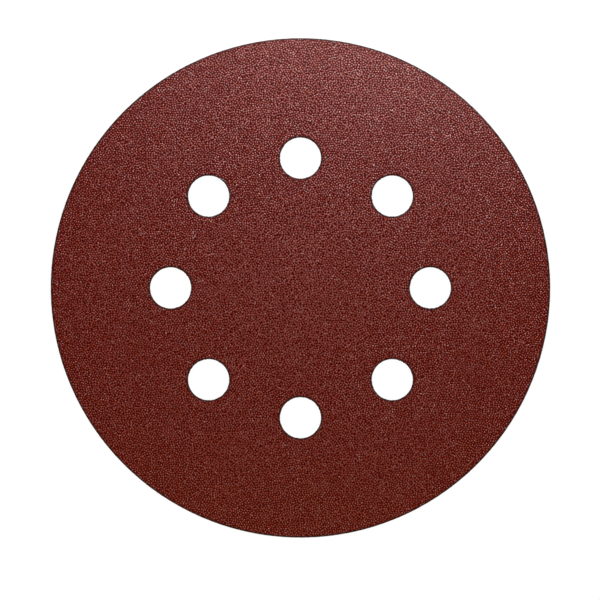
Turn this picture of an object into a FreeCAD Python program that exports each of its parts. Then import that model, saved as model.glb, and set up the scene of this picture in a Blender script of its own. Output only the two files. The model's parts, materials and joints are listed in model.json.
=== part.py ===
import FreeCAD, Part
import enum
import os

import Sketcher

# Hook and loop sanding disc, laminated from three sheets and punched out in one stroke.
#
# Frame: millimetres, +Z out of the grain. The disc lies on its loops, which meet z = 0,
# and its centre is on the Z axis. The first hole is centred on +X.
#
# The punch draws the sheets down along every cut, at the rim and round each hole, into
# a lip. The lips nest, sheet on sheet, and the loops at the bottom are squeezed thinner
# to make room for them.

SIZES = {
    # millimetres, apart from the count
    "disc_radius": 62.5,
    "hole_count": 8,
    "hole_radius": 5.15,
    "hole_circle_radius": 32.5,
    "loop_thickness": 0.85,
    "paper_thickness": 0.3,
    "abrasive_thickness": 0.35,
    "lip_width": 0.5,
    "lip_drop": 0.14,
}

# The sheets from the bench up, each with its thickness.
SHEETS = {
    "loop_fabric": "sizes.loop_thickness",
    "backing_paper": "sizes.paper_thickness",
    "abrasive_coat": "sizes.abrasive_thickness",
}

# Distances from the disc's axis, in a section that runs out along the X axis.
RIM = "sizes.disc_radius"
RIM_LIP = "sizes.disc_radius - sizes.lip_width"
HOLE_AXIS = "sizes.hole_circle_radius"
HOLE_WALL = "sizes.hole_circle_radius + sizes.hole_radius"
HOLE_LIP = "sizes.hole_circle_radius + sizes.hole_radius + sizes.lip_width"


class Point(enum.IntEnum):
    """The sketcher's numbers for the points of a line or a circle."""

    START = 1
    END = 2
    CENTRE = 3


class Axis(enum.IntEnum):
    """The sketcher's numbers for a sketch's own axes."""

    ACROSS = -1
    UP = -2


ORIGIN = (Axis.ACROSS, Point.START)


def make_size_sheet(doc):
    """The spreadsheet of driving sizes, one alias a row."""
    sheet = doc.addObject("Spreadsheet::Sheet", "sizes")
    for row, (alias, value) in enumerate(SIZES.items(), start=1):
        sheet.set(f"A{row}", alias)
        sheet.set(f"B{row}", str(value))
        sheet.setAlias(f"B{row}", alias)
    doc.recompute()


def origin_feature(body, role):
    """One of the body's own origin planes or axes."""
    return next(f for f in body.Origin.OriginFeatures if f.Role == role)


def new_sketch(body, name, role):
    """An empty sketch on one of the body's origin planes."""
    sketch = body.newObject("Sketcher::SketchObject", name)
    sketch.AttachmentSupport = [(origin_feature(body, role), "")]
    sketch.MapMode = "FlatFace"
    return sketch


def size_of(sketch, expression):
    """What an expression comes to now. None stands for a place on the axis."""
    return float(sketch.evalExpression(expression)) if expression else 0.0


def dimension(sketch, kind, *where, size):
    """Adds a dimension bound to an expression."""
    index = sketch.addConstraint(Sketcher.Constraint(kind, *where, size_of(sketch, size)))
    sketch.setExpression(f"Constraints[{index}]", size)


def place_point(sketch, line, point, across, up):
    """Holds a point of a line or circle at two expressions from the sketch's axes."""
    for kind, size, axis in (("DistanceX", across, Axis.UP), ("DistanceY", up, Axis.ACROSS)):
        if size:
            dimension(sketch, kind, *ORIGIN, line, point, size=size)
        else:
            sketch.addConstraint(Sketcher.Constraint("PointOnObject", line, point, axis))


def draw_outline(sketch, corners):
    """A closed outline of straight lines through the corners, each two expressions."""
    points = [FreeCAD.Vector(*(size_of(sketch, e) for e in corner), 0) for corner in corners]
    sides = zip(points, points[1:] + points[:1])
    lines = [sketch.addGeometry(Part.LineSegment(*side)) for side in sides]
    for number, line in enumerate(lines):
        before = lines[number - 1]
        ends = (before, Point.END, line, Point.START)
        sketch.addConstraint(Sketcher.Constraint("Coincident", *ends))
        place_point(sketch, line, Point.START, *corners[number])


def face_heights(height):
    """A face's height on the flat and at a cut. The face on the bench isn't drawn down."""
    return (height, f"{height} - sizes.lip_drop") if height else (None, None)


def disc_section(body, low, high):
    """Half of the sheet's section, from the disc's axis out to the rim and its lip."""
    sketch = new_sketch(body, "DiscSection", "XZ_Plane")
    (low, low_cut), (high, high_cut) = face_heights(low), face_heights(high)
    under = [(None, low), (RIM_LIP, low), (RIM, low_cut)]
    over = [(RIM, high_cut), (RIM_LIP, high), (None, high)]
    draw_outline(sketch, under + over)
    return sketch


def lip_section(body, low, high):
    """The section of the lip round the first hole, and that hole's axis."""
    sketch = new_sketch(body, "LipSection", "XZ_Plane")
    (low, low_cut), (high, high_cut) = face_heights(low), face_heights(high)
    under = [(HOLE_LIP, low), (HOLE_WALL, low_cut)]
    over = [(HOLE_WALL, high_cut), (HOLE_LIP, high)]
    draw_outline(sketch, under + over)

    ends = [FreeCAD.Vector(size_of(sketch, HOLE_AXIS), y, 0) for y in (0, size_of(sketch, high))]
    axis = sketch.addGeometry(Part.LineSegment(*ends), True)
    place_point(sketch, axis, Point.START, HOLE_AXIS, None)
    place_point(sketch, axis, Point.END, HOLE_AXIS, high)
    return sketch


def opening_outline(body):
    """The circle round the first hole outside which the sheet stays flat."""
    sketch = new_sketch(body, "OpeningOutline", "XY_Plane")
    radius = "sizes.hole_radius + sizes.lip_width"
    centre = FreeCAD.Vector(size_of(sketch, HOLE_AXIS), 0, 0)
    circle = Part.Circle(centre, FreeCAD.Vector(0, 0, 1), size_of(sketch, radius))
    circle = sketch.addGeometry(circle)
    place_point(sketch, circle, Point.CENTRE, HOLE_AXIS, None)
    dimension(sketch, "Radius", circle, size=radius)
    return sketch


def make_sheet(doc, label, low, high):
    """One sheet, between two heights on the flat."""
    body = doc.addObject("PartDesign::Body", label)
    body.Label = label

    disc = body.newObject("PartDesign::Revolution", "Disc")
    disc.Profile = disc_section(body, low, high)
    disc.ReferenceAxis = (disc.Profile[0], ["V_Axis"])
    disc.Angle = 360

    opening = body.newObject("PartDesign::Pocket", "Opening")
    opening.Profile = opening_outline(body)
    opening.Type = "ThroughAll"
    opening.Midplane = True

    lip = body.newObject("PartDesign::Revolution", "Lip")
    lip.Profile = lip_section(body, low, high)
    lip.ReferenceAxis = (lip.Profile[0], ["Axis0"])
    lip.Angle = 360

    holes = body.newObject("PartDesign::PolarPattern", "Holes")
    holes.Originals = [opening, lip]
    holes.Axis = (origin_feature(body, "Z_Axis"), [""])
    holes.Angle = 360
    holes.setExpression("Occurrences", "sizes.hole_count")
    body.Tip = holes
    return body


def check(doc, bodies):
    """Raises if an object of the document failed or a sheet isn't one sound solid."""
    for thing in doc.Objects:
        if {"Invalid", "Error"} & set(thing.State):
            raise RuntimeError(f"{thing.Label} failed: {thing.State}")
    for body in bodies:
        shape = body.Shape
        if shape.isNull() or not shape.isValid() or len(shape.Solids) != 1:
            raise RuntimeError(f"{body.Label} isn't one valid solid")


def main():
    doc = FreeCAD.newDocument("sanding_disc")
    make_size_sheet(doc)
    bodies = []
    low = None
    for label, thickness in SHEETS.items():
        high = f"{low} + {thickness}" if low else thickness
        bodies.append(make_sheet(doc, label, low, high))
        low = high
    doc.recompute()
    check(doc, bodies)
    os.makedirs("parts", exist_ok=True)
    for body in bodies:
        body.Shape.exportStep(f"parts/{body.Label}.step")
        print(body.Label, f"{body.Shape.Volume:.1f} mm3")


main()
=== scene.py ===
import json
import math

import bmesh
import bpy
import numpy as np
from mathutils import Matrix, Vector, kdtree


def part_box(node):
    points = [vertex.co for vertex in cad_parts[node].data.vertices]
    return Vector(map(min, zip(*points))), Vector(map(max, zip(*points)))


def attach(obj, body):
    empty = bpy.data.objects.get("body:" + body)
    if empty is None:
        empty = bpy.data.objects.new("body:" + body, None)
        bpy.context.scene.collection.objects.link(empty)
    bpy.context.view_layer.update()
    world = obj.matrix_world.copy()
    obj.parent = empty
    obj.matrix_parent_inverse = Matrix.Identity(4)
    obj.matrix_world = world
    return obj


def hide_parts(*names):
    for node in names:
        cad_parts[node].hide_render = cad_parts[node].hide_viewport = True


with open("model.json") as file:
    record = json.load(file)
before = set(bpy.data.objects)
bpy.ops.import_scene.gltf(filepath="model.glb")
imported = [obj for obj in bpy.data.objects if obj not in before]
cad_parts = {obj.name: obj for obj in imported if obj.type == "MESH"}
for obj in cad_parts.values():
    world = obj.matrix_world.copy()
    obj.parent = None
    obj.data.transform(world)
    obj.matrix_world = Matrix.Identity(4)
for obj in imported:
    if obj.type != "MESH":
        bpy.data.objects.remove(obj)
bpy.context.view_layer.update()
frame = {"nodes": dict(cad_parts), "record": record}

bl_info = {
    "name": "Hook and loop sanding disc",
    "version": (1, 0, 0),
    "blender": (4, 5, 0),
    "location": "3D View > Sidebar > Sanding Disc",
    "description": "Dresses the packed disc with its grain, resin, paper and knitted loops",
    "category": "Mesh",
}

# Places on the disc, in metres. The disc lies on its loops, its axis is the Z axis and the
# first hole is on +X.
MM = 0.001
HOLES = next(m["dims"] for m in frame["record"]["mounts"] if m["name"] == "dust_holes")
HOLE_COUNT = HOLES["count"]
HOLE_RADIUS = HOLES["hole_r_mm"] * MM
HOLE_CIRCLE = HOLES["pcd_mm"] / 2 * MM
HOLE_STEP = 2 * math.pi / HOLE_COUNT

COAT_LOW, COAT_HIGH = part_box("abrasive_coat")
DISC_RADIUS = COAT_HIGH.x
LOOPS_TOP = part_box("loop_fabric")[1].z
PAPER_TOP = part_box("backing_paper")[1].z
GRAIN_TOP = COAT_HIGH.z
LIP_DROP = PAPER_TOP - COAT_LOW.z
# The lip's width is the one that the CAD source draws.
LIP_WIDTH = 0.5 * MM
# How far the grain and the yarn that the punch cuts may stand out of a hole's wall.
BURR = 0.08 * MM

# Grains and loops stand on a hexagonal grid. Its rows are this many pitches apart, and it
# has this many more columns than rows on each side.
ROW_STEP = math.sqrt(0.75)
MORE_COLUMNS = 9
# How far they may be from their places on the grid, in pitches.
GRAIN_JITTER = 0.5
LOOP_JITTER = 0.2
# How often grains that crowd each other are pushed apart.
EASING_ROUNDS = 4

# How the grains differ: how far in or out a corner is, and how wide the grain is on each of
# its axes, as shares. They lie flat, so their height is only a share of that width.
CORNER_SPREAD = 0.11
GRAIN_WIDTHS = (0.86, 1.14)
GRAIN_HEIGHT = 0.62
# How far the highest peaks are under the coat's top, and the lowest feet over the paper.
PEAK_GAP = 0.005 * MM
FOOT_GAP = 0.02 * MM

# How the loops differ: in width and lean, as shares, in the turn from their row, in radians,
# and in the height over the bench at which they end.
LOOP_WIDTHS = (0.8, 1.2)
LOOP_LEANS = (0.2, 1.4)
LOOP_TURN = 0.5
LOOP_ENDS = (0, 0.2 * MM)
# How far down through the ground their feet are, as a share of its thickness.
FOOT_DEPTH = 0.85
# How far one stitch of the ground is from the next.
KNIT_PITCH = 0.6 * MM

# The map that a bake uses. It holds the side that nobody sees in the corner of the square
# that the round disc leaves empty, at a smaller size.
BAKE_MAP = "OFBake"
SPARE_CORNER = 0.9
SPARE_SIZE = 0.08

# Distances too small to matter: corners nearer than the first are joined, and the second
# keeps a division from failing at the middle of the disc or of a hole.
WELD = 0.001 * MM
NOTHING = 1e-9

# The sockets of a Mix node that mixes colours.
MIX_SHARE, MIX_FIRST, MIX_SECOND, MIX_OUT = 0, 6, 7, 2

# The floor's reach, and what the camera sees of it: a glow, and how much of that is mixed
# with the light and shade that fall on it.
FLOOR_REACH = 4.0
FLOOR_GLOW = 1.08
FLOOR_GLOW_SHARE = 0.8

# The camera's height, and what its picture shows at the height of the grain: half of the
# width, and where the middle is from the disc's axis.
CAMERA_HEIGHT = 0.8
HALF_PICTURE = 75.03 * MM
PICTURE_MIDDLE = (-0.12 * MM, -3.03 * MM)

WHITE = (1, 1, 1, 1)


# What a user can change


class GrainSizes(bpy.types.PropertyGroup):
    """The abrasive coat: three grades of grain standing in one bed of resin."""

    resin_thickness: bpy.props.FloatProperty(
        name="Resin thickness",
        description="How thick the resin lies on the paper between the grains",
        default=0.1 * MM, min=0.02 * MM, max=0.25 * MM, unit="LENGTH", precision=5,
    )
    coarse_width: bpy.props.FloatProperty(
        name="Coarse grain",
        description="How wide the coarse grains are",
        default=0.64 * MM, min=0.2 * MM, max=1.2 * MM, unit="LENGTH", precision=5,
    )
    middle_width: bpy.props.FloatProperty(
        name="Middle grain",
        description="How wide the middle grains are",
        default=0.61 * MM, min=0.2 * MM, max=1.0 * MM, unit="LENGTH", precision=5,
    )
    fine_width: bpy.props.FloatProperty(
        name="Fine grain",
        description="How wide the fine grains are",
        default=0.6 * MM, min=0.1 * MM, max=0.8 * MM, unit="LENGTH", precision=5,
    )
    pitch: bpy.props.FloatProperty(
        name="Pitch",
        description="How far one grain is from the next, on average",
        default=0.65 * MM, min=0.4 * MM, max=3 * MM, unit="LENGTH", precision=5,
    )
    seed: bpy.props.IntProperty(
        name="Seed",
        description="Another number throws the grain another way",
        default=7, min=0,
    )


class LoopSizes(bpy.types.PropertyGroup):
    """The knitted loops that the hooks of a sander's pad hold."""

    ground_thickness: bpy.props.FloatProperty(
        name="Ground thickness",
        description="How thick the knitted ground is under the loops",
        default=0.4 * MM, min=0.1 * MM, max=0.6 * MM, unit="LENGTH", precision=5,
    )
    yarn_width: bpy.props.FloatProperty(
        name="Yarn",
        description="How thick the yarn of the loops is",
        default=0.16 * MM, min=0.04 * MM, max=0.3 * MM, unit="LENGTH", precision=5,
    )
    loop_width: bpy.props.FloatProperty(
        name="Loop",
        description="How far a loop's one foot is from the other",
        default=0.7 * MM, min=0.3 * MM, max=1.5 * MM, unit="LENGTH", precision=5,
    )
    lean: bpy.props.FloatProperty(
        name="Lean",
        description="How far a loop's end hangs to the side of its feet",
        default=0.7 * MM, min=0, max=1 * MM, unit="LENGTH", precision=5,
    )
    pitch: bpy.props.FloatProperty(
        name="Pitch",
        description="How far one loop is from the next in its row",
        default=1.14 * MM, min=0.9 * MM, max=3 * MM, unit="LENGTH", precision=5,
    )
    seed: bpy.props.IntProperty(
        name="Seed",
        description="Another number hangs the loops another way",
        default=3, min=0,
    )


class DiscColours(bpy.types.PropertyGroup):
    """The colours of the disc's finishes."""

    grain: bpy.props.FloatVectorProperty(
        name="Grain",
        description="The grain under its top coat of resin",
        default=(0.225, 0.017, 0.004), min=0, max=1, size=3, subtype="COLOR",
    )
    # Painted highlight: the tips are paler than the grain, standing in for the light that
    # catches them.
    tip_highlight: bpy.props.FloatVectorProperty(
        name="Grain tips",
        description="The tips of the grain, where the resin is thin",
        default=(0.235, 0.027, 0.011), min=0, max=1, size=3, subtype="COLOR",
    )
    # Painted shade: the feet are darker than the grain, standing in for the shade down between
    # the grains.
    foot: bpy.props.FloatVectorProperty(
        name="Grain feet",
        description="The feet of the grain, down in the resin",
        default=(0.138, 0.0045, 0.001), min=0, max=1, size=3, subtype="COLOR",
    )
    # Partly painted shade: the resin's own dark red, made darker still to stand in for the
    # shade between the grains.
    resin: bpy.props.FloatVectorProperty(
        name="Resin",
        description="The resin between the grains",
        default=(0.08, 0.003, 0.001), min=0, max=1, size=3, subtype="COLOR",
    )
    # Along the rim and round each hole the coat and the resin are darkened to this colour, over
    # the lip.
    cut_edge: bpy.props.FloatVectorProperty(
        name="Cut edge",
        description="The darkened coat along the rim and round each hole",
        default=(0.035, 0.012, 0.009), min=0, max=1, size=3, subtype="COLOR",
    )
    paper: bpy.props.FloatVectorProperty(
        name="Paper",
        description="The heavy paper, which shows at the cuts",
        default=(0.21, 0.095, 0.048), min=0, max=1, size=3, subtype="COLOR",
    )
    yarn: bpy.props.FloatVectorProperty(
        name="Yarn",
        description="The yarn of the knitted loops",
        default=(0.67, 0.64, 0.55), min=0, max=1, size=3, subtype="COLOR",
    )
    floor: bpy.props.FloatVectorProperty(
        name="Floor",
        description="The pale floor",
        default=(0.8, 0.8, 0.8), min=0, max=1, size=3, subtype="COLOR",
    )


class DiscSettings(bpy.types.PropertyGroup):
    """All that a user can change."""

    grain: bpy.props.PointerProperty(type=GrainSizes)
    loops: bpy.props.PointerProperty(type=LoopSizes)
    colours: bpy.props.PointerProperty(type=DiscColours)


# The disc's cuts


def from_cuts(x, y):
    """How far a place on the disc is from the nearest cut, the rim's or a hole's."""
    out, turn = np.hypot(x, y), np.arctan2(y, x)
    turn = (turn + HOLE_STEP / 2) % HOLE_STEP - HOLE_STEP / 2
    across = np.hypot(out * np.cos(turn) - HOLE_CIRCLE, out * np.sin(turn))
    return np.minimum(DISC_RADIUS - out, across - HOLE_RADIUS)


def lip_share(x, y):
    """How far down the lip along a cut a place is, from 0 on the flat to 1 at the cut."""
    return np.clip(1 - from_cuts(x, y) / LIP_WIDTH, 0, 1)


def drawn_down(x, y):
    """How far the punch has drawn the sheets down at a place."""
    return LIP_DROP * lip_share(x, y)


def sheared(points):
    """The points, with those past a cut pulled back to it, or in a hole to its burr."""
    x, y, z = np.moveaxis(points, -1, 0)
    out = np.hypot(x, y)
    inside = np.minimum(1, DISC_RADIUS / np.maximum(out, NOTHING))
    x, y = x * inside, y * inside
    hole = np.round(np.arctan2(y, x) / HOLE_STEP) * HOLE_STEP
    hole_x, hole_y = HOLE_CIRCLE * np.cos(hole), HOLE_CIRCLE * np.sin(hole)
    away_x, away_y = x - hole_x, y - hole_y
    away = np.maximum(np.hypot(away_x, away_y), NOTHING)
    outward = np.maximum(1, (HOLE_RADIUS - BURR) / away)
    return np.stack([hole_x + away_x * outward, hole_y + away_y * outward, z], -1)


# Places for grains and loops


def scattered(pitch, jitter, rng):
    """Places on a hexagonal grid over the disc, each moved at random."""
    rows = int(DISC_RADIUS / (pitch * ROW_STEP)) + 1
    columns = rows + MORE_COLUMNS
    row, column = np.meshgrid(np.arange(-rows, rows + 1), np.arange(-columns, columns + 1))
    x = (column + row % 2 / 2) * pitch
    y = row * pitch * ROW_STEP
    places = np.stack([x.ravel(), y.ravel()], -1)
    places += rng.uniform(-jitter, jitter, places.shape) * pitch
    return places[from_cuts(*places.T) > 0]


def eased(places, pitch):
    """The places, with those that crowd each other pushed apart."""
    for _ in range(EASING_ROUNDS):
        tree = kdtree.KDTree(len(places))
        for number, (x, y) in enumerate(places):
            tree.insert((x, y, 0), number)
        tree.balance()
        moved = places.copy()
        for number, (x, y) in enumerate(places):
            for near, _, gap in tree.find_range((x, y, 0), pitch):
                if gap > 0:
                    push = (pitch - gap) / 2 / gap
                    moved[number] += ((x - near.x) * push, (y - near.y) * push)
        places = moved
    return places[from_cuts(*places.T) > 0]


# Meshes


def welded(node):
    """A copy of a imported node's mesh with its loose triangles joined up."""
    shell = bmesh.new()
    shell.from_mesh(frame["nodes"][node].data)
    bmesh.ops.remove_doubles(shell, verts=shell.verts, dist=WELD)
    return shell


def to_mesh(shell, name):
    """Ends a bmesh as a mesh."""
    mesh = bpy.data.meshes.new(name)
    shell.to_mesh(mesh)
    shell.free()
    return mesh


def corners_of(mesh):
    """The places of a mesh's corners."""
    flat = np.empty(len(mesh.vertices) * 3, np.float32)
    mesh.vertices.foreach_get("co", flat)
    return flat.reshape(-1, 3)


def move_corners(mesh, places):
    """Moves a mesh's corners to these places."""
    mesh.vertices.foreach_set("co", places.astype(np.float32).ravel())
    mesh.update()


def set_attribute(mesh, name, values, domain="FACE"):
    """Gives a mesh one number a face or a corner, for its material to read."""
    layer = mesh.attributes.new(name, "FLOAT", domain)
    layer.data.foreach_set("value", np.ascontiguousarray(values, np.float32))


def copied(shape, count):
    """A mesh of so many copies of a shape, all in one place."""
    pile = bmesh.new()
    for _ in range(count):
        pile.from_mesh(shape)
    return to_mesh(pile, shape.name)


def random_turns(count, rng):
    """Rotation matrices, spread evenly over all turns."""
    turns = rng.normal(size=(4, count))
    w, x, y, z = turns / np.linalg.norm(turns, axis=0)
    rows = [
        [1 - 2 * (y * y + z * z), 2 * (x * y - z * w), 2 * (x * z + y * w)],
        [2 * (x * y + z * w), 1 - 2 * (x * x + z * z), 2 * (y * z - x * w)],
        [2 * (x * z - y * w), 2 * (y * z + x * w), 1 - 2 * (x * x + y * y)],
    ]
    return np.moveaxis(np.array(rows), -1, 0)


def map_flat(mesh, seen):
    """Lays out the map that a bake uses: the side that is seen, 1 for the top and -1 for the
    bottom, as a picture of the disc, and the other side in the spare corner."""
    mesh.uv_layers.new(name=BAKE_MAP)
    corner = np.empty(len(mesh.loops), np.int32)
    mesh.loops.foreach_get("vertex_index", corner)
    normal = np.empty(len(mesh.polygons) * 3, np.float32)
    mesh.polygons.foreach_get("normal", normal)
    sides = np.empty(len(mesh.polygons), np.int32)
    mesh.polygons.foreach_get("loop_total", sides)
    away = np.repeat(normal[2::3] * seen < 0, sides)
    at = corners_of(mesh)[corner, :2] / DISC_RADIUS
    at = np.where(away[:, None], SPARE_CORNER + SPARE_SIZE * at, at)
    mesh.uv_layers[BAKE_MAP].data.foreach_set("uv", (0.5 + 0.5 * at).astype(np.float32).ravel())


def new_piece(mesh, name, finish, smooth=False):
    """Puts a finished mesh in the scene as a piece of the disc."""
    old = bpy.data.objects.get(name)
    if old:
        bpy.data.objects.remove(old)
    piece = bpy.data.objects.new(name, mesh)
    bpy.context.scene.collection.objects.link(piece)
    mesh.materials.clear()
    mesh.materials.append(finish)
    mesh.polygons.foreach_set("use_smooth", [smooth] * len(mesh.polygons))
    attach(piece, "root")
    return piece


# Finishes


class Finish:
    """A material in the making: it adds nodes, fills their inputs and links them."""

    def __init__(self, name):
        self.material = bpy.data.materials.new(name)
        self.material.use_nodes = True
        self.tree = self.material.node_tree
        self.surface = self.tree.nodes["Principled BSDF"]
        self.place = self.add("TexCoord").outputs["Object"]

    def fill(self, node, inputs):
        """Gives each of a node's inputs a value, or a link where that is a socket."""
        for key, value in inputs.items():
            if isinstance(value, bpy.types.NodeSocket):
                self.tree.links.new(value, node.inputs[key])
            else:
                node.inputs[key].default_value = value

    def add(self, kind, inputs=None, **settings):
        """Adds a shader node of this kind."""
        node = self.tree.nodes.new(f"ShaderNode{kind}")
        for key, value in settings.items():
            setattr(node, key, value)
        self.fill(node, inputs or {})
        return node

    def attribute(self, name):
        """The number that a mesh holds under this name."""
        return self.add("Attribute", attribute_name=name).outputs["Fac"]

    def sized(self, across, along=None):
        """The places, with a pattern squeezed so that it runs along the X axis."""
        along = across if along is None else along
        scale = (1 / along, 1 / across, 1 / across)
        return self.add("Mapping", {"Vector": self.place, "Scale": scale}).outputs[0]

    def noise(self, size, detail=2.0, along=None):
        """Noise with spots of this size, in metres."""
        inputs = {"Vector": self.sized(size, along), "Scale": 1.0, "Detail": detail}
        return self.add("TexNoise", inputs).outputs["Fac"]

    def ramp(self, share, *stops):
        """A value that goes through the stops, each a place and a number or colour."""
        node = self.add("ValToRGB", {"Fac": share})
        band = node.color_ramp.elements
        while len(band) < len(stops):
            band.new(0.5)
        for element, (place, value) in zip(band, stops):
            element.position = place
            colour = value if hasattr(value, "__len__") else (value,) * 3
            element.color = (*colour, 1)
        return node.outputs["Color"]

    def mix(self, share, first, second, kind="MIX"):
        """Two colours mixed, with so much of the second."""
        node = self.add("Mix", data_type="RGBA", blend_type=kind)
        inputs = {MIX_SHARE: share, MIX_FIRST: first, MIX_SECOND: second}
        for key in (MIX_FIRST, MIX_SECOND):
            if not isinstance(inputs[key], bpy.types.NodeSocket):
                inputs[key] = (*inputs[key], 1)
        self.fill(node, inputs)
        return node.outputs[MIX_OUT]

    def math(self, operation, *values):
        """What one step of arithmetic makes of the values."""
        return self.add("Math", dict(enumerate(values)), operation=operation).outputs[0]

    def bump(self, height, depth, strength=1.0):
        """Bumps whose height from 0 to 1 stands for a depth in metres."""
        inputs = {"Height": height, "Distance": depth, "Strength": strength}
        return self.add("Bump", inputs).outputs["Normal"]

    def done(self, **inputs):
        """The material, with these inputs of its surface filled."""
        named = {name.replace("_", " "): value for name, value in inputs.items()}
        self.fill(self.surface, named)
        return self.material


def shade(colour, by):
    """A colour made darker or lighter."""
    return tuple(min(1.0, c * by) for c in colour)


def grain_finish(colours):
    """Angular grain in a top coat of resin, painted darker towards its feet as shade and paler
    at its tips as a highlight. Each grain has a tone of its own, and those of the highest
    tones glint."""
    grain = Finish("grain in resin")
    rise = grain.attribute("rise")
    # Painted shade and highlight: by height on the grain, from the dark feet to the pale tips.
    body = grain.ramp(
        rise,
        (0.4, tuple(colours.foot)),
        (0.8, tuple(colours.grain)),
        (1.0, tuple(colours.tip_highlight)),
    )
    tone = grain.ramp(grain.attribute("tone"), (0.0, 0.94), (1.0, 1.0))
    toned = grain.mix(1.0, body, tone, "MULTIPLY")
    # The coat is darkened along the cuts, over the lip, and loses its top coat there.
    cut_band = grain.ramp(grain.attribute("lip"), (0.0, 0.0), (0.45, 1.0))
    coated = grain.ramp(rise, (0.55, 0.0), (0.8, 1.0))
    gloss = grain.math("MULTIPLY", coated, grain.math("SUBTRACT", 1.0, cut_band))
    cut = grain.mix(cut_band, toned, tuple(colours.cut_edge))
    grit = grain.noise(0.09 * MM, 3.0)
    return grain.done(
        Base_Color=cut,
        Roughness=grain.ramp(grit, (0.3, 0.22), (0.7, 0.35)),
        Normal=grain.bump(grit, 0.01 * MM, 0.3),
        Specular_IOR_Level=grain.ramp(grain.attribute("tone"), (0.8, 0.1), (1.0, 0.9)),
        Coat_Weight=gloss,
        Coat_Roughness=0.62,
        Coat_IOR=1.6,
    )


def resin_finish(colours):
    """The resin between the grains, lumpy, its dark red made darker still as painted shade
    between the grains.
    """
    resin = Finish("resin bed")
    lumps = resin.noise(0.4 * MM, 3.0)
    dark, light = shade(colours.resin, 0.6), shade(colours.resin, 1.5)
    base = resin.ramp(lumps, (0.35, dark), (0.7, light))
    # Darkened along the cuts, over the lip.
    cut = resin.mix(resin.attribute("lip"), base, tuple(colours.cut_edge))
    return resin.done(
        Base_Color=cut,
        Roughness=resin.ramp(lumps, (0.3, 0.8), (0.7, 0.6)),
        Normal=resin.bump(lumps, 0.12 * MM, 0.8),
        Specular_IOR_Level=0.1,
    )


def paper_finish(colours):
    """Heavy brown paper, of which the cut edge shows its fibres."""
    paper = Finish("heavy paper")
    fibres = paper.noise(0.05 * MM, 4.0, along=0.6 * MM)
    clouds = paper.noise(2 * MM, 2.0)
    dark, light = shade(colours.paper, 0.7), shade(colours.paper, 1.25)
    base = paper.ramp(fibres, (0.3, dark), (0.7, light))
    base = paper.mix(0.4, base, paper.ramp(clouds, (0.3, 0.6), (0.7, 1.0)), "MULTIPLY")
    return paper.done(
        Base_Color=base,
        Roughness=paper.ramp(fibres, (0.3, 0.95), (0.7, 0.8)),
        Normal=paper.bump(fibres, 0.03 * MM, 0.7),
    )


def new_yarn(name, colours):
    """A finish of pale yarn in the making, with its hairs and their colour."""
    yarn = Finish(name)
    hairs = yarn.noise(0.04 * MM, 3.0, along=0.4 * MM)
    dark, light = shade(colours.yarn, 0.78), shade(colours.yarn, 1.08)
    return yarn, hairs, yarn.ramp(hairs, (0.3, dark), (0.7, light))


def downy(yarn, hairs, base, relief):
    """Ends a finish of yarn, dull and a little downy."""
    return yarn.done(
        Base_Color=base,
        Roughness=yarn.ramp(hairs, (0.3, 0.9), (0.7, 0.7)),
        Normal=relief,
        Sheen_Weight=0.3,
        Sheen_Roughness=0.4,
    )


def knitted_finish(colours):
    """Yarn knitted close, in columns of slanting stitches, with painted shade in their hollows.
    """
    yarn, hairs, base = new_yarn("knitted ground", colours)
    split = yarn.add("SeparateXYZ", {"Vector": yarn.place}).outputs
    column = yarn.math("MULTIPLY", split["X"], 2 * math.pi / KNIT_PITCH)
    slant = yarn.math("ABSOLUTE", yarn.math("SINE", yarn.math("MULTIPLY", column, 0.5)))
    rise = yarn.math("MULTIPLY", split["Y"], 2 * math.pi / KNIT_PITCH)
    stitch = yarn.math("SINE", yarn.math("MULTIPLY_ADD", slant, 2.5, rise))
    height = yarn.math("MULTIPLY", yarn.math("MULTIPLY_ADD", stitch, 0.5, 0.5), slant)
    relief = yarn.bump(yarn.math("MULTIPLY_ADD", hairs, 0.3, height), 0.12 * MM)
    # Painted shade: the yarn is darker where the stitches are low, in their hollows.
    base = yarn.mix(0.6, base, yarn.ramp(height, (0.0, 0.5), (0.5, 1.0)), "MULTIPLY")
    return downy(yarn, hairs, base, relief)


def loop_finish(colours):
    """Yarn in loops, each loop with a tone of its own."""
    yarn, hairs, base = new_yarn("loops of yarn", colours)
    tone = yarn.ramp(yarn.attribute("tone"), (0.0, 0.72), (1.0, 1.0))
    base = yarn.mix(0.5, base, tone, "MULTIPLY")
    return downy(yarn, hairs, base, yarn.bump(hairs, 0.02 * MM, 0.5))


def floor_finish(colours):
    """A pale floor, white to the camera and in what the disc mirrors, but for its shadow."""
    floor = Finish("pale floor")
    floor.fill(floor.surface, {"Base Color": (*colours.floor, 1), "Roughness": 0.9})
    rays = floor.add("LightPath").outputs
    seen = floor.math("MAXIMUM", rays["Is Camera Ray"], rays["Is Glossy Ray"])
    seen = floor.math("MAXIMUM", seen, rays["Is Transmission Ray"])
    glow = floor.add("Emission", {"Color": WHITE, "Strength": FLOOR_GLOW}).outputs[0]
    share = floor.math("MULTIPLY", seen, FLOOR_GLOW_SHARE)
    both = floor.add("MixShader", {0: share, 1: floor.surface.outputs[0], 2: glow})
    floor.fill(floor.tree.nodes["Material Output"], {"Surface": both.outputs[0]})
    return floor.material


# The coat's pieces


def grain_shape(name, create, **sizes):
    """What the grains of a grade are made from: a plain shape in triangles."""
    shape = bmesh.new()
    create(shape, **sizes)
    bmesh.ops.triangulate(shape, faces=shape.faces)
    return to_mesh(shape, name)


def block():
    """A grain of two rings of corners with a point at each end."""
    create = bmesh.ops.create_uvsphere
    return grain_shape("block", create, u_segments=4, v_segments=3, radius=0.5)


def brick():
    """A grain of six sides."""
    return grain_shape("brick", bmesh.ops.create_cube, size=0.66)


def splinter():
    """A grain pointed at both ends."""
    create = bmesh.ops.create_uvsphere
    return grain_shape("splinter", create, u_segments=5, v_segments=2, radius=0.5)


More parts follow.
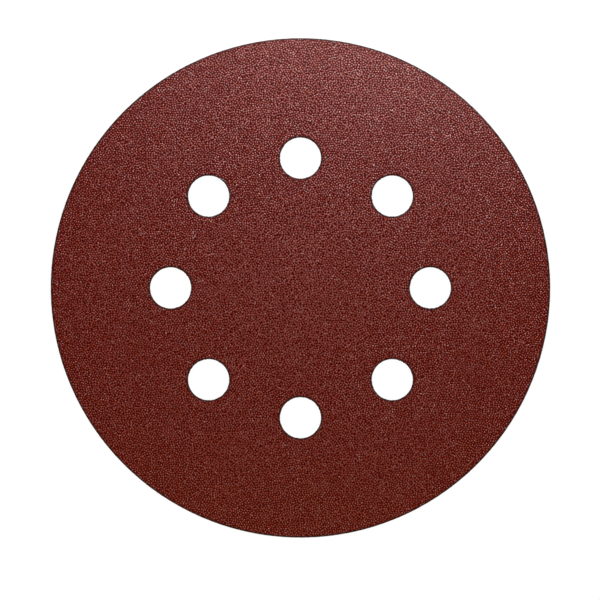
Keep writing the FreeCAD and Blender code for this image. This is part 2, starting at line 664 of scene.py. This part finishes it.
def grain_mesh(shape, places, width, sunk, rng):
    """Grains at these places. Each has its own corners, turn, size, height and tone."""
    count, faces = len(places), len(shape.polygons)
    mesh = copied(shape, count)
    reach = 1 + rng.normal(0, CORNER_SPREAD, (count, len(shape.vertices), 1))
    grains = corners_of(shape) * reach
    grains *= rng.uniform(*GRAIN_WIDTHS, (count, 1, 3)) * width
    grains = np.einsum("nij,nkj->nki", random_turns(count, rng), grains)
    grains *= (1, 1, GRAIN_HEIGHT)
    grains[..., :2] += places[:, None]
    grains = sheared(grains)
    # Each grain's peak is a little under the coat's top, and its foot is over the paper.
    peak = GRAIN_TOP - PEAK_GAP - drawn_down(*places.T)
    grains[..., 2] += (peak - rng.uniform(0, sunk, count) - grains[..., 2].max(1))[:, None]
    lip = lip_share(grains[..., 0], grains[..., 1])
    fall = LIP_DROP * lip
    grains[..., 2] = np.clip(grains[..., 2], PAPER_TOP + FOOT_GAP - fall, GRAIN_TOP - fall)
    move_corners(mesh, grains)
    rise = (grains[..., 2] + fall - PAPER_TOP) / (GRAIN_TOP - PAPER_TOP)
    set_attribute(mesh, "rise", rise.ravel(), "POINT")
    set_attribute(mesh, "tone", np.repeat(rng.uniform(0, 1, count), faces))
    set_attribute(mesh, "lip", lip.ravel(), "POINT")
    map_flat(mesh, 1)
    return mesh


def resin_mesh(thickness):
    """The bed of resin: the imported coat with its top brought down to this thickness."""
    bed = welded("abrasive_coat")
    for corner in bed.verts:
        fall = drawn_down(corner.co.x, corner.co.y)
        if corner.co.z + fall > (PAPER_TOP + GRAIN_TOP) / 2:
            corner.co.z = PAPER_TOP - fall + thickness
    mesh = to_mesh(bed, "resin_bed")
    x, y, _ = corners_of(mesh).T
    set_attribute(mesh, "lip", lip_share(x, y), "POINT")
    return mesh


# The loop fabric's pieces


def arch(sizes):
    """A loop of yarn that hangs from z = 0: a three-sided strand taken through half a turn."""
    shape = bmesh.new()
    radius = sizes.yarn_width / 2
    foot = bmesh.ops.create_circle(shape, cap_ends=True, segments=3, radius=radius)["verts"]
    bmesh.ops.translate(shape, verts=foot, vec=(sizes.loop_width / 2, 0, 0))
    geom = shape.verts[:] + shape.edges[:] + shape.faces[:]
    bmesh.ops.spin(shape, geom=geom, cent=(0, 0, 0), axis=(0, 1, 0), angle=math.pi, steps=6)
    bmesh.ops.triangulate(shape, faces=shape.faces)
    bmesh.ops.recalc_face_normals(shape, faces=shape.faces)
    return to_mesh(shape, "arch")


def pile_mesh(sizes, places, rng):
    """Loops that hang from the ground at these places, each leaning to a side of its row."""
    shape = arch(sizes)
    count, faces = len(places), len(shape.polygons)
    mesh = copied(shape, count)
    along, across, depth = corners_of(shape).T
    # From 0 at a loop's feet to 1 at its end.
    depth = depth / depth.min()
    along = along * rng.uniform(*LOOP_WIDTHS, (count, 1))
    across = across + depth * sizes.lean * rng.uniform(*LOOP_LEANS, (count, 1))
    turn = rng.normal(0, LOOP_TURN, (count, 1)) + math.pi * rng.integers(2, size=(count, 1))
    x = places[:, :1] + along * np.cos(turn) - across * np.sin(turn)
    y = places[:, 1:] + along * np.sin(turn) + across * np.cos(turn)
    loops = sheared(np.stack([x, y, np.zeros_like(x)], -1))
    fall = drawn_down(loops[..., 0], loops[..., 1])
    foot = LOOPS_TOP - FOOT_DEPTH * sizes.ground_thickness - fall
    loops[..., 2] = (1 - depth) * foot + depth * rng.uniform(*LOOP_ENDS, (count, 1))
    move_corners(mesh, loops)
    set_attribute(mesh, "tone", np.repeat(rng.uniform(0, 1, count), faces))
    map_flat(mesh, -1)
    return mesh


def ground_mesh(thickness):
    """The knitted ground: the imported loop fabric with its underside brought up."""
    ground = welded("loop_fabric")
    for corner in ground.verts:
        if corner.co.z < LOOPS_TOP / 2:
            top = LOOPS_TOP - drawn_down(corner.co.x, corner.co.y)
            corner.co.z = top - thickness
    return to_mesh(ground, "loop_ground")


# The stage


def lay_floor(colours):
    """A wide pale floor under the disc."""
    slab = bmesh.new()
    bmesh.ops.create_grid(slab, x_segments=1, y_segments=1, size=FLOOR_REACH)
    mesh = to_mesh(slab, "floor")
    floor = bpy.data.objects.new("floor", mesh)
    bpy.context.scene.collection.objects.link(floor)
    mesh.materials.append(floor_finish(colours))


def light_world(scene):
    """A dim even world, white where the camera sees past the floor."""
    world = bpy.data.worlds.new("studio")
    world.use_nodes = True
    nodes, links = world.node_tree.nodes, world.node_tree.links
    rays = nodes.new("ShaderNodeLightPath").outputs["Is Camera Ray"]
    dim, out = nodes["Background"], nodes["World Output"]
    dim.inputs["Color"].default_value = (1.0, 0.95, 0.8, 1)
    dim.inputs["Strength"].default_value = 0.1
    white = nodes.new("ShaderNodeBackground")
    white.inputs["Color"].default_value = WHITE
    mix = nodes.new("ShaderNodeMixShader")
    links.new(rays, mix.inputs[0])
    links.new(dim.outputs[0], mix.inputs[1])
    links.new(white.outputs[0], mix.inputs[2])
    links.new(mix.outputs[0], out.inputs["Surface"])
    scene.world = world


def lamp(name, place, target, size, power, colour, hidden_from):
    """A soft rectangular lamp that faces a target, hidden from some kinds of ray."""
    data = bpy.data.lights.new(name, "AREA")
    data.shape = "RECTANGLE"
    data.size, data.size_y = size
    data.energy = power
    data.color = colour
    light = bpy.data.objects.new(name, data)
    bpy.context.scene.collection.objects.link(light)
    light.location = place
    light.rotation_euler = (Vector(target) - Vector(place)).to_track_quat("-Z", "Y").to_euler()
    for ray in hidden_from:
        setattr(light, f"visible_{ray}", False)


def hang_lamps():
    """Soft lamps: one high over the disc, three past its top edge and one past its bottom."""
    lamp(
        "Top softbox", place=(0.02, 0.2, 0.05), target=(0, 0.03, 0), size=(0.1, 0.03),
        power=0.28, colour=(1, 0.97, 1), hidden_from=("camera", "glossy"),
    )
    lamp(
        "Glint", place=(0.01, 0.078, 0.07), target=(0, 0.03, 0), size=(0.14, 0.025),
        power=0.23, colour=(0.92, 0.86, 1), hidden_from=("camera", "diffuse"),
    )
    lamp(
        "Near glint", place=(0.015, 0.074, 0.02), target=(0.01, 0.055, 0), size=(0.12, 0.008),
        power=0.088, colour=(0.6, 1, 1), hidden_from=("camera", "diffuse"),
    )
    lamp(
        "Bottom card", place=(0, -0.085, 0.05), target=(0, -0.055, 0), size=(0.13, 0.03),
        power=0.02, colour=(0.75, 1, 0.35), hidden_from=("camera", "diffuse"),
    )
    lamp(
        "Overhead fill", place=(0, -0.05, 1.2), target=(0, 0, 0), size=(1.2, 1.2),
        power=15.7, colour=(1, 0.98, 0.97), hidden_from=("glossy",),
    )


def place_camera(scene):
    """A camera that looks straight down, with the lens that gives the photograph's frame."""
    data = bpy.data.cameras.new("camera")
    camera = bpy.data.objects.new("camera", data)
    scene.collection.objects.link(camera)
    data.lens = data.sensor_width / 2 * (CAMERA_HEIGHT - GRAIN_TOP) / HALF_PICTURE
    data.clip_start, data.clip_end = 0.01, 20
    camera.location = (*PICTURE_MIDDLE, CAMERA_HEIGHT)
    scene.camera = camera


# The add-on


class SANDING_OT_lay_resin(bpy.types.Operator):
    """Lays the bed of resin over the paper, with the coat's own outline and lips"""

    bl_idname = "sanding.lay_resin"
    bl_label = "Lay the resin"
    bl_options = {"REGISTER", "UNDO"}

    def execute(self, context):
        settings = context.scene.sanding_disc
        mesh = resin_mesh(settings.grain.resin_thickness)
        piece = new_piece(mesh, "resin_bed", resin_finish(settings.colours))
        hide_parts("abrasive_coat")
        return {"FINISHED"}


class SANDING_OT_scatter_grain(bpy.types.Operator):
    """Scatters the three grades of grain over the resin"""

    bl_idname = "sanding.scatter_grain"
    bl_label = "Scatter the grain"
    bl_options = {"REGISTER", "UNDO"}

    def execute(self, context):
        settings = context.scene.sanding_disc
        grain = settings.grain
        finish = grain_finish(settings.colours)
        rng = np.random.default_rng(grain.seed)
        # Each grade's name, shape and width, and how far its lowest peak is under its highest.
        grades = (
            ("coarse_grain", block(), grain.coarse_width, 0.015 * MM),
            ("middle_grain", brick(), grain.middle_width, 0.02 * MM),
            ("fine_grain", splinter(), grain.fine_width, 0.03 * MM),
        )
        places = eased(scattered(grain.pitch, GRAIN_JITTER, rng), grain.pitch)
        grade = rng.integers(len(grades), size=len(places))
        for number, (name, shape, width, sunk) in enumerate(grades):
            mesh = grain_mesh(shape, places[grade == number], width, sunk, rng)
            piece = new_piece(mesh, name, finish, True)
            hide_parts("abrasive_coat")
        return {"FINISHED"}


class SANDING_OT_dress_paper(bpy.types.Operator):
    """Gives the heavy paper its finish"""

    bl_idname = "sanding.dress_paper"
    bl_label = "Dress the paper"
    bl_options = {"REGISTER", "UNDO"}

    def execute(self, context):
        paper = frame["nodes"]["backing_paper"]
        for slot in paper.material_slots:
            slot.material = paper_finish(context.scene.sanding_disc.colours)
        return {"FINISHED"}


class SANDING_OT_knit_loops(bpy.types.Operator):
    """Knits the ground of the loop fabric and the loops that hang from it"""

    bl_idname = "sanding.knit_loops"
    bl_label = "Knit the loops"
    bl_options = {"REGISTER", "UNDO"}

    def execute(self, context):
        settings = context.scene.sanding_disc
        sizes = settings.loops
        mesh = ground_mesh(sizes.ground_thickness)
        sheet = new_piece(mesh, "loop_ground", knitted_finish(settings.colours))
        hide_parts("loop_fabric")

        rng = np.random.default_rng(sizes.seed)
        places = scattered(sizes.pitch, LOOP_JITTER, rng)
        row = np.rint(places[:, 1] / (sizes.pitch * ROW_STEP))
        finish = loop_finish(settings.colours)
        for parity, name in enumerate(("even_row_loops", "odd_row_loops")):
            mesh = pile_mesh(sizes, places[row % 2 == parity], rng)
            piece = new_piece(mesh, name, finish, True)
            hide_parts("loop_fabric")

        return {"FINISHED"}


class SANDING_OT_set_stage(bpy.types.Operator):
    """Sets the floor, the lights and the camera over the disc"""

    bl_idname = "sanding.set_stage"
    bl_label = "Set the stage"
    bl_options = {"REGISTER", "UNDO"}

    def execute(self, context):
        scene = context.scene
        lay_floor(scene.sanding_disc.colours)
        light_world(scene)
        hang_lamps()
        place_camera(scene)
        scene.view_settings.view_transform = "Standard"
        return {"FINISHED"}


PIECES = (
    SANDING_OT_lay_resin,
    SANDING_OT_scatter_grain,
    SANDING_OT_dress_paper,
    SANDING_OT_knit_loops,
    SANDING_OT_set_stage,
)


class SANDING_PT_disc(bpy.types.Panel):
    """The disc's sizes and colours, and a button for each piece"""

    bl_label = "Sanding Disc"
    bl_space_type = "VIEW_3D"
    bl_region_type = "UI"
    bl_category = "Sanding Disc"

    def draw(self, context):
        settings = context.scene.sanding_disc
        for group in (settings.grain, settings.loops, settings.colours):
            box = self.layout.box()
            for name in group.__annotations__:
                box.prop(group, name)
        for piece in PIECES:
            self.layout.operator(piece.bl_idname)


CLASSES = (GrainSizes, LoopSizes, DiscColours, DiscSettings, *PIECES, SANDING_PT_disc)


def register():
    for cls in CLASSES:
        bpy.utils.register_class(cls)
    bpy.types.Scene.sanding_disc = bpy.props.PointerProperty(type=DiscSettings)


def unregister():
    del bpy.types.Scene.sanding_disc
    for cls in reversed(CLASSES):
        bpy.utils.unregister_class(cls)


def main():
    register()
    bpy.ops.sanding.lay_resin()
    bpy.ops.sanding.scatter_grain()
    bpy.ops.sanding.dress_paper()
    bpy.ops.sanding.knit_loops()
    bpy.ops.sanding.set_stage()


if __name__ == "__main__":
    main()
